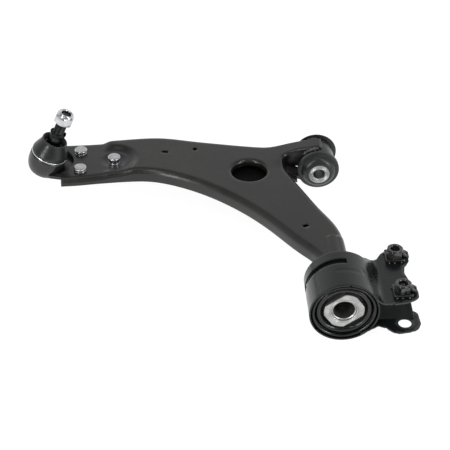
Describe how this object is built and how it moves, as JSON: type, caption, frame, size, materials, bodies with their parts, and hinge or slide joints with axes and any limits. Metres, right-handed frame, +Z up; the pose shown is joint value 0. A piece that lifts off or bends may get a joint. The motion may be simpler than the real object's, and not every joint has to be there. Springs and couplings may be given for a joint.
{
  "type": "suspension control arm",
  "caption": "Pressed steel front lower control arm with a riveted ball joint, a rubber front bush and a large rear bush in a bolt-on bracket.",
  "frame": {"origin": "centre of the front bush, on the axis that both bushes turn about", "axes": "+Y along the pivot axis from the rear bush to the front bush; -X towards the ball joint; +Z up, the side the ball stud points to"},
  "size_m": [0.445, 0.359, 0.1209],
  "materials": {
    "arm_paint": "semi-gloss black dip coat",
    "bracket_paint": "glossy black coat",
    "bush_rubber": "satin moulded rubber",
    "boot_rubber": "soft satin rubber",
    "grey_steel": "matt phosphated steel",
    "zinc": "bright zinc plate",
    "stud_steel": "black phosphated steel",
    "housing_black": "black coated forging",
    "seat_plastic": "moulded acetal",
    "weld": "coated weld bead"
  },
  "bodies": {
    "arm": {"arm_shell": "arm_paint", "arm_lower_plate": "arm_paint", "bush_gusset": "arm_paint", "weld_beads": "weld", "front_bush_tube": "bracket_paint", "front_bush_outer_sleeve": "bracket_paint", "front_bush_rubber": "bush_rubber", "rear_spigot": "grey_steel", "rear_bush_inner": "grey_steel", "rear_bush_rubber": "bush_rubber", "ball_joint_housing": "housing_black", "ball_seat": "seat_plastic", "ball_joint_cover": "grey_steel", "boot_clamp_ring": "zinc", "rivet_front": "zinc", "rivet_back": "zinc", "rivet_inner": "zinc"},
    "boot": {"dust_boot": "boot_rubber"},
    "boot_ring": {"boot_top_ring": "grey_steel"},
    "stud": {"ball_stud": "stud_steel", "stud_collar": "stud_steel", "stud_nut": "zinc"},
    "front_bush_core": {"front_bush_inner_sleeve": "grey_steel"},
    "rear_bracket": {"rear_bush_can": "bracket_paint", "bracket_upper": "bracket_paint", "bracket_lower": "bracket_paint", "captive_nuts": "bracket_paint", "nut_tabs": "bracket_paint"}
  },
  "joints": [
    {"name": "stud_swing", "type": "hinge", "parent": "arm", "child": "boot", "pos_m": [-0.337, 0.0055, 0.0102], "axis": [0, 1, 0], "range_deg": [-18, 18], "deforming": ["dust_boot"]},
    {"name": "stud_rock", "type": "hinge", "parent": "boot", "child": "boot_ring", "pos_m": [-0.337, 0.0055, 0.0102], "axis": [0.9171, 0, -0.3987], "range_deg": [-18, 18]},
    {"name": "stud_spin", "type": "hinge", "parent": "boot_ring", "child": "stud", "pos_m": [-0.337, 0.0055, 0.0102], "axis": [0.3987, 0, 0.9171], "continuous": true},
    {"name": "front_bush_twist", "type": "hinge", "parent": "arm", "child": "front_bush_core", "pos_m": [0, 0, 0], "axis": [0, 1, 0], "range_deg": [-20, 20], "stiffness_Nm_per_rad": 80},
    {"name": "rear_bush_twist", "type": "hinge", "parent": "arm", "child": "rear_bracket", "pos_m": [0, -0.263, 0], "axis": [0, 1, 0], "range_deg": [-20, 20], "stiffness_Nm_per_rad": 60}
  ]
}
